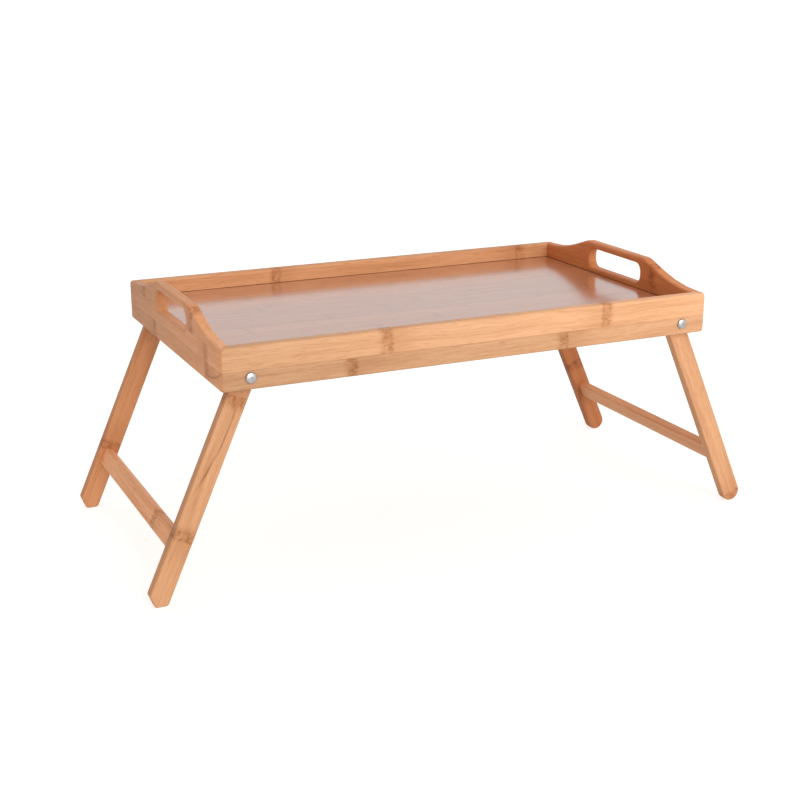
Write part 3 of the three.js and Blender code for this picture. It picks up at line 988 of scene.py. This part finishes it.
def make_washer(end, side, kind, steel):
    """A flat washer with its edges chamfered."""
    node = f"{end}_{side}_{kind}"
    inner_face, outer_face, radius = pivot_extent(node)
    edge = 0.15 * mm
    profile = [
        (bolt_hole, inner_face + edge),
        (bolt_hole + edge, inner_face),
        (radius - edge, inner_face),
        (radius, inner_face + edge),
        (radius, outer_face - edge),
        (radius - edge, outer_face),
        (bolt_hole + edge, outer_face),
        (bolt_hole, outer_face - edge),
        (bolt_hole, inner_face + edge),
    ]
    washer = smooth(turned(node + "_metal", profile), "washer")
    return placed_at_pivot(washer, end, side, node, steel)


def make_nut(end, side, steel):
    """A hexagon with chamfered corners and a dome over the end of the bolt, which points inwards."""
    node = f"{end}_{side}_cap_nut"
    dome_tip, outer_face, _ = pivot_extent(node)
    across_flats = 8 * mm
    corner_radius = across_flats / 2 / math.cos(math.pi / 6)
    dome_inset, dome_height, dome_steps = 0.2 * mm, 2.6 * mm, 8
    dome_radius = across_flats / 2 - dome_inset
    chamfer = 0.5 * mm
    clearance = 0.02 * mm
    overlap = 1 * mm
    hex_inner = dome_tip + dome_height

    turns = [math.pi / 3 * i for i in range(6)]
    hexagon = [(corner_radius * math.sin(a), corner_radius * math.cos(a)) for a in turns]
    nut = prism(node + "_metal", hexagon, hex_inner, outer_face)
    bigger = corner_radius + clearance
    smaller = corner_radius - chamfer
    collar = [
        (0, hex_inner),
        (smaller, hex_inner),
        (bigger, hex_inner + chamfer),
        (bigger, outer_face - chamfer),
        (smaller, outer_face),
        (0, outer_face),
    ]
    carve(nut, [turned("collar", collar)], "INTERSECT")

    dome = [(0, dome_tip)]
    for i in range(1, dome_steps + 1):
        angle = math.pi / 2 * i / dome_steps
        dome.append((dome_radius * math.sin(angle), hex_inner - dome_height * math.cos(angle)))
    dome += [(dome_radius, hex_inner + overlap), (0, hex_inner + overlap)]
    carve(nut, [turned("dome", dome)], "UNION")

    bore_low, bore_high = hex_inner - overlap, outer_face + overlap
    bore = [(0, bore_low), (bolt_hole, bore_low), (bolt_hole, bore_high), (0, bore_high)]
    carve(nut, [turned("bore", bore)])
    return placed_at_pivot(smooth(nut, "nut"), end, side, node, steel)


# ---------- studio ----------
WHITE = (1.0, 1.0, 1.0)


def make_floor():
    """A pale floor, wide enough to pass behind the whole view.

    It gives off some light of its own, and more towards the camera, so that it looks white.
    """
    reach, thickness = 60.0, 0.05
    glow, glow_to_camera = 0.32, 0.38
    mottles_per_metre, pale, paler = 3.0, (0.51, 0.51, 0.51), (0.53, 0.53, 0.53)
    corners = [(-reach, -reach), (reach, -reach), (reach, reach), (-reach, reach)]
    floor = prism("studio_floor", corners, -thickness, 0.0)
    s = Shader("studio_floor")
    mottle_point = s.scaled(s.coordinates("Object"), *[mottles_per_metre] * 3)
    colour = s.mix(s.noise(mottle_point, detail=2.0), pale, paler)
    s.set(Base_Color=colour, Roughness=0.9, Specular_IOR_Level=0.0, Emission_Color=(*WHITE, 1.0))
    s.set(Emission_Strength=s.math("MULTIPLY_ADD", s.seen_directly(), glow_to_camera, glow))
    give_material(floor, s.material)


def make_world():
    """White studio walls behind and to the right, falling off to a dim warm corner on the left.

    The camera itself sees plain white past the end of the floor.
    """
    white_walls, dim_corner = (0.82, 0.82, 0.82), (0.45, 0.345, 0.255)
    toward_walls = Vector((0.80, 0.50, -0.33)).normalized()
    dim_up_to, white_from = -0.90, 0.30
    world = bpy.data.worlds.new("studio_world")
    world.use_nodes = True
    n = Nodes(world.node_tree)
    turned_to_walls = n.node("ShaderNodeVectorMath", operation="DOT_PRODUCT")
    n.plug(turned_to_walls.inputs[0], n.coordinates("Generated"))
    n.plug(turned_to_walls.inputs[1], toward_walls)
    brightness = n.step(turned_to_walls.outputs["Value"], dim_up_to, white_from)
    walls = n.mix(brightness, dim_corner, white_walls)
    n.plug(n.tree.nodes["Background"].inputs["Color"], n.mix(n.seen_directly(), walls, WHITE))
    bpy.context.scene.world = world


def make_light():
    """One soft light from far away, in front of the tray and a little above."""
    toward_light = Vector((0.03, -0.93, 0.35))
    data = bpy.data.lights.new("key_light", "SUN")
    data.energy = 1.78
    data.angle = math.radians(45)
    lamp = bpy.data.objects.new("key_light", data)
    bpy.context.scene.collection.objects.link(lamp)
    lamp.rotation_mode = "QUATERNION"
    lamp.rotation_quaternion = toward_light.to_track_quat("Z", "Y")


def make_camera():
    """The camera looks at the tray from its front left corner and a little above."""
    azimuth, elevation = math.radians(-24.96), math.radians(17.31)
    target = Vector((-13.3 * mm, 0, 114.5 * mm))
    distance = 1447.7 * mm
    focal_length = 63.46
    away = math.cos(elevation)
    back = Vector((math.sin(azimuth) * away, -math.cos(azimuth) * away, math.sin(elevation)))
    data = bpy.data.cameras.new("camera")
    data.lens = focal_length
    camera = bpy.data.objects.new("camera", data)
    bpy.context.scene.collection.objects.link(camera)
    camera.location = target + back * distance
    camera.rotation_mode = "QUATERNION"
    camera.rotation_quaternion = (-back).to_track_quat("-Z", "Y")
    bpy.context.scene.camera = camera


# ---------- assembly ----------
def make_pivot(end, side, bolt_steel, steel):
    """The bolt of one leg, with its washers and its nut."""
    make_bolt(end, side, bolt_steel)
    make_washer(end, side, "spacer_washer", steel)
    make_washer(end, side, "inner_washer", steel)
    make_nut(end, side, steel)


make_camera()
make_floor()
make_world()
make_light()

make_tray_frame()
give_material(frame["nodes"]["tray_panel"], lacquered_panel())
dowel_wood = raw_dowel_wood()
bolt_metal = polished_steel("bolt_steel", (bolt_high.x - bolt_low.x) / 2 / mm)
steel_metal = polished_steel("polished_steel")
for end_name in ENDS:
    make_stretcher(end_name)
    for side_name in SIDES:
        make_leg(end_name, side_name)
        make_pivot(end_name, side_name, bolt_metal, steel_metal)
        for hidden in ("corner_key", "upper_dowel", "lower_dowel"):
            give_material(frame["nodes"][f"{end_name}_{side_name}_{hidden}"], dowel_wood)

bpy.context.scene.view_settings.view_transform = "Standard"
